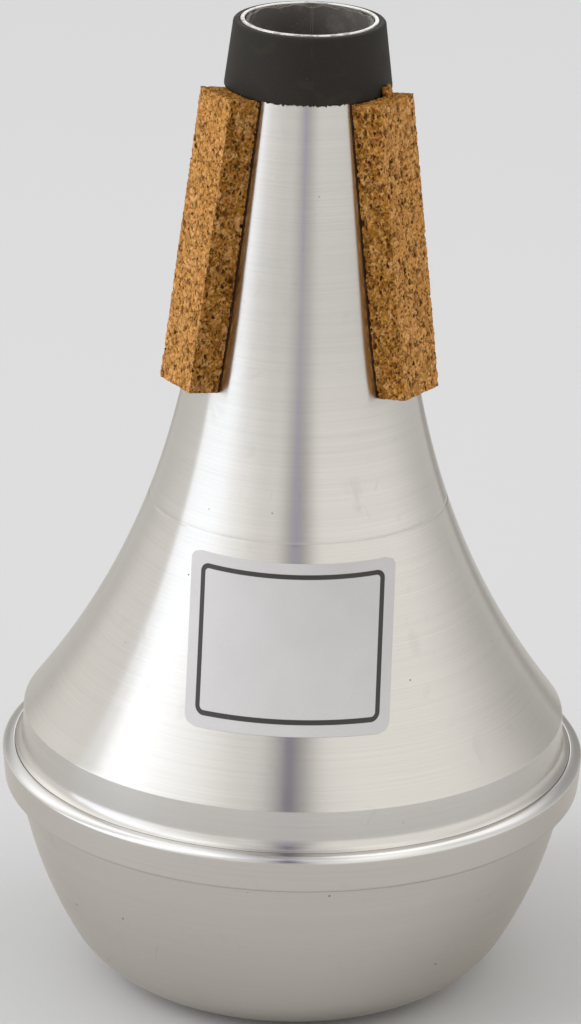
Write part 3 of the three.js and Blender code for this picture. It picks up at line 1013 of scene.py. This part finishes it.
def corkBar(name, turn):
    deep = max(cork["footDepth"], cork["headDepth"]) + cork["overrun"]
    ends = [corkHead, corkFoot, corkFoot + corkInward * deep, corkHead + corkInward * deep]
    spin = turnedBy(turn)
    shape = bmesh.new()
    rows = []
    for across in (-cork["width"] / 2, cork["width"] / 2):
        rows.append([shape.verts.new(spin @ Vector((p.x, across, p.y)) * mm) for p in ends])
    shape.faces.new(rows[0])
    shape.faces.new(rows[1][::-1])
    for i in range(4):
        j = (i + 1) % 4
        shape.faces.new((rows[0][i], rows[1][i], rows[1][j], rows[0][j]))
    bmesh.ops.recalc_face_normals(shape, faces=shape.faces)
    return meshPiece(name, shape)


def addCrumbs(bar):
    shape = bmesh.new()
    shape.from_mesh(bar.data)
    for i, crumb in enumerate(cork["crumbs"]):
        size, detail = crumb["size"] * mm, cork["crumbDetail"]
        lump = bmesh.ops.create_icosphere(shape, subdivisions=detail, radius=size)["verts"]
        for vert in lump:
            spot = vert.co * cork["crumbScale"] + Vector((i, 0, 0))
            vert.co *= 1 + cork["crumbRelief"] * noise.fractal(spot, *octaves)
        place = Matrix.Translation(Vector((crumb["radius"], 0, crumb["height"])) * mm)
        place = turnedBy(crumb["turn"]) @ place
        bmesh.ops.transform(shape, matrix=place, verts=lump)
    shape.to_mesh(bar.data)
    shape.free()


def makeCorks():
    low, high, rows = corkFoot.y - cork["plugFoot"], corkHead.y + cork["plugHead"], cork["plugRows"]
    heights = [low + (high - low) * i / rows for i in range(rows + 1)]
    skin = [Vector((coneRadius(h) + cork["back"], h)) for h in heights]
    line = [Vector((0, low)), *skin, Vector((0, high))]
    plug = turnPiece("corkPlug", line, None, None, Turns=cork["plugTurns"])
    tree, material = makeCorkTree(), corkMaterial()
    for side, turn in cork["turns"].items():
        piece = corkBar("cork" + side, turn)
        cut = piece.modifiers.new("cutToCone", "BOOLEAN")
        cut.object, cut.operation, cut.solver = plug, "DIFFERENCE", "EXACT"
        bakeModifiers(piece)
        if side == "Right":
            addCrumbs(piece)
        grid = piece.modifiers.new("evenMesh", "REMESH")
        grid.mode, grid.voxel_size = "VOXEL", cork["voxel"] * mm
        way = turnedBy(turn) @ Vector((-corkInward.x, 0, -corkInward.y))
        runTree(piece, tree, {
            "Pit depth": cork["pitDepth"] * mm, "Crack depth": cork["crackDepth"] * mm,
            "Rough depth": cork["roughDepth"] * mm, "Face way": way, "Material": material})
        bakeModifiers(piece)
        finishPiece(piece, "cork", "cork_" + side.lower())
    bpy.data.objects.remove(plug)


makeCorks()


# Patches on the cone: a Geometry Nodes tree for what is stuck on it, the glue and the label

def makePatchTree():
    tree, given = newGeometryTree("stickOnCone", {
        "Centre angle": 0.0, "Foot": 0.0, "Head": mm, "Half width": mm, "Corner radius": mm, "Lean": 0.0,
        "Lift": 0.0, "Thickness": mm, "Wobble": 0.0, "Wobble length": mm, "Columns": 24, "Rows": 60,
        "Seed": 0.0})
    sheet = addNode(tree, "GeometryNodeMeshGrid", {
        "Size X": 2.0, "Size Y": 2.0, "Vertices X": given["Columns"], "Vertices Y": given["Rows"]})
    spot = split(addNode(tree, "GeometryNodeInputPosition").outputs[0])
    halfHeight = times(minus(given["Head"], given["Foot"]), 0.5)
    middle = times(plus(given["Head"], given["Foot"]), 0.5)
    along = times(spot["Y"], halfHeight)

    # Rounded corners draw the rows in near both ends
    corner = given["Corner radius"]
    past = larger(minus(calc("ABSOLUTE", along), minus(halfHeight, corner)), 0.0)
    square = minus(times(corner, corner), times(past, past))
    drawn = minus(corner, calc("SQRT", larger(square, 0.0)))
    side = times(spot["X"], minus(given["Half width"], drawn))

    def wander(x, y):
        where = vectorCalc("DIVIDE", join(x, y), given["Wobble length"])
        return times(minus(noiseAt(where, 1.0, 3.0, W=given["Seed"]), 0.5), given["Wobble"])

    side = timesPlus(wander(calc("SIGN", spot["X"]), along), spot["X"], side)
    level = timesPlus(wander(side, calc("SIGN", spot["Y"])), spot["Y"], along)
    leanCos, leanSin = calc("COSINE", given["Lean"]), calc("SINE", given["Lean"])
    across = minus(times(side, leanCos), times(level, leanSin))
    height = plus(middle, plus(times(side, leanSin), times(level, leanCos)))

    # The cone's radius at that height, by the same law as its outline
    waist = waistHeight * mm
    radius = timesPlus(minus(shell["height"] * mm, height), taperSlope, shell["mouthRadius"] * mm)
    way = calc("DIVIDE", larger(minus(waist, height), 0.0), waist - crease.y * mm)
    flare = (crease.x - taperRadius(crease.y)) * mm
    radius = timesPlus(calc("POWER", way, shell["flarePower"]), flare, radius)
    radius = plus(radius, given["Lift"])
    angle = plus(given["Centre angle"], calc("ARCSINE", calc("DIVIDE", across, radius)))
    onCone = join(times(radius, calc("COSINE", angle)), times(radius, calc("SINE", angle)), height)
    shape = storeOnPoints(sheet.outputs["Mesh"], "patchPlace", join(side, level), "FLOAT_VECTOR")
    shape = addNode(tree, "GeometryNodeSetPosition", {"Geometry": shape, "Position": onCone}).outputs[0]
    shape = mergeClose(tree, shape)
    rise = {"Mesh": shape, "Offset Scale": given["Thickness"], "Individual": False}
    raised = addNode(tree, "GeometryNodeExtrudeMesh", rise, mode="FACES")
    under = addNode(tree, "GeometryNodeFlipFaces", {"Mesh": shape})
    joined = addNode(tree, "GeometryNodeJoinGeometry")
    tree.links.new(raised.outputs["Mesh"], joined.inputs[0])
    tree.links.new(under.outputs[0], joined.inputs[0])
    endTree(tree, mergeClose(tree, joined.outputs[0]), given["Material"], sharpEdge)
    return tree


patchTree = makePatchTree()


def stickPatch(name, material, **values):
    piece = newPiece(name, bpy.data.meshes.new(name))
    runTree(piece, patchTree, {"Material": material, **values})
    return bakeModifiers(piece)


# Glue: dried brown contact adhesive that shows as a dark line along the strips

glue = dict(gap=0.02, thickness=0.13, margin=0.02, corner=0.4, wobble=0.3, wobbleLength=1.1, headGap=0.3,
            columns=30, rows=190, seed=2.0, color=(0.0312, 0.0143, 0.0078), thin=(0.0910, 0.0416, 0.0195),
            cloudScale=650.0, thinPlaces=(0.48, 0.75), roughness=(0.38, 0.6), specular=0.12,
            bump=0.6, bumpDepth=0.1)


def glueMaterial():
    material, tree, shader = newMaterial("driedGlue", {"Specular IOR Level": glue["specular"]})
    cloud = noiseAt(objectPlace(tree), glue["cloudScale"], 4.0)
    link(mixColors(ramp(cloud, *glue["thinPlaces"]), glue["color"], glue["thin"]), shader, "Base Color")
    link(ramp(cloud, *noiseSpan, *glue["roughness"]), shader, "Roughness")
    addBump(shader, cloud, glue["bump"], glue["bumpDepth"])
    return material


def makeGlue():
    material = glueMaterial()
    slope = -corkInward.y / -corkInward.x
    foot = corkFoot.y - cork["footDepth"] * slope - glue["margin"]
    head = corkHead.y - cork["headDepth"] * slope - glue["headGap"]
    for i, (side, turn) in enumerate(cork["turns"].items()):
        piece = stickPatch("glue" + side, material, **{
            "Centre angle": radians(turn), "Foot": foot * mm, "Head": head * mm,
            "Half width": (cork["width"] / 2 + glue["margin"]) * mm, "Corner radius": glue["corner"] * mm,
            "Lift": glue["gap"] * mm, "Thickness": glue["thickness"] * mm, "Wobble": glue["wobble"] * mm,
            "Wobble length": glue["wobbleLength"] * mm, "Columns": glue["columns"], "Rows": glue["rows"],
            "Seed": glue["seed"] + i})
        finishPiece(piece, "cork_glue", "cork_glue_" + side.lower())


makeGlue()


# Label: a plain pale sticker with a dark rule round it, on the front of the cone

label = dict(turn=-89.6, foot=58.4, head=84.1, width=34.0, corner=1.6, lean=-0.3,
             lift=0.02, thickness=0.09, columns=64, rows=64,
             inset=1.7, rule=0.75, ruleCorner=1.4, soft=0.05,
             ground=(0.495, 0.481, 0.480), ink=(0.026, 0.023, 0.022), fineScale=4200.0, cloudScale=140.0,
             shade=0.03, wornPlaces=(0.70, 0.78), wornInk=0.55, roughness=(0.42, 0.52),
             bump=0.25, bumpDepth=0.03)


def labelMaterial():
    material, tree, shader = newMaterial("printedLabel")
    place = addNode(tree, "ShaderNodeAttribute", attribute_name="patchPlace").outputs["Vector"]
    parts = split(place)
    inset, corner, soft = label["inset"], label["ruleCorner"], label["soft"] * mm

    def past(side, size):
        return minus(calc("ABSOLUTE", side), (size / 2 - inset - corner) * mm)

    # Distance outwards from a rounded box, which draws the rule
    reachX, reachY = past(parts["X"], label["width"]), past(parts["Y"], label["head"] - label["foot"])
    out = vectorCalc("LENGTH", join(larger(reachX, 0.0), larger(reachY, 0.0)))
    deep = calc("MINIMUM", larger(reachX, reachY), 0.0)
    edge = minus(plus(out, deep), corner * mm)
    outer = ramp(edge, -soft, soft, 1.0, 0.0)
    inner = ramp(edge, -label["rule"] * mm - soft, -label["rule"] * mm + soft, 0.0, 1.0)
    fine = noiseAt(place, label["fineScale"], 3.0)
    cloud = noiseAt(place, label["cloudScale"], 4.0)
    shade = plus(evenRamp(fine, *noiseSpan, 1 - label["shade"], 1 + label["shade"]),
                 evenRamp(cloud, *noiseSpan, -label["shade"], label["shade"]))
    worn = times(times(outer, inner), ramp(fine, *label["wornPlaces"], 1.0, label["wornInk"]))
    link(mixColors(worn, scaled(label["ground"], shade), label["ink"]), shader, "Base Color")
    link(ramp(cloud, *noiseSpan, *label["roughness"]), shader, "Roughness")
    addBump(shader, cloud, label["bump"], label["bumpDepth"])
    return material


def makeLabel():
    piece = stickPatch("frontLabel", labelMaterial(), **{
        "Centre angle": radians(label["turn"]), "Foot": label["foot"] * mm, "Head": label["head"] * mm,
        "Half width": label["width"] / 2 * mm, "Corner radius": label["corner"] * mm,
        "Lean": radians(label["lean"]), "Lift": label["lift"] * mm, "Thickness": label["thickness"] * mm,
        "Columns": label["columns"], "Rows": label["rows"]})
    finishPiece(piece, "cap_aluminium")


makeLabel()
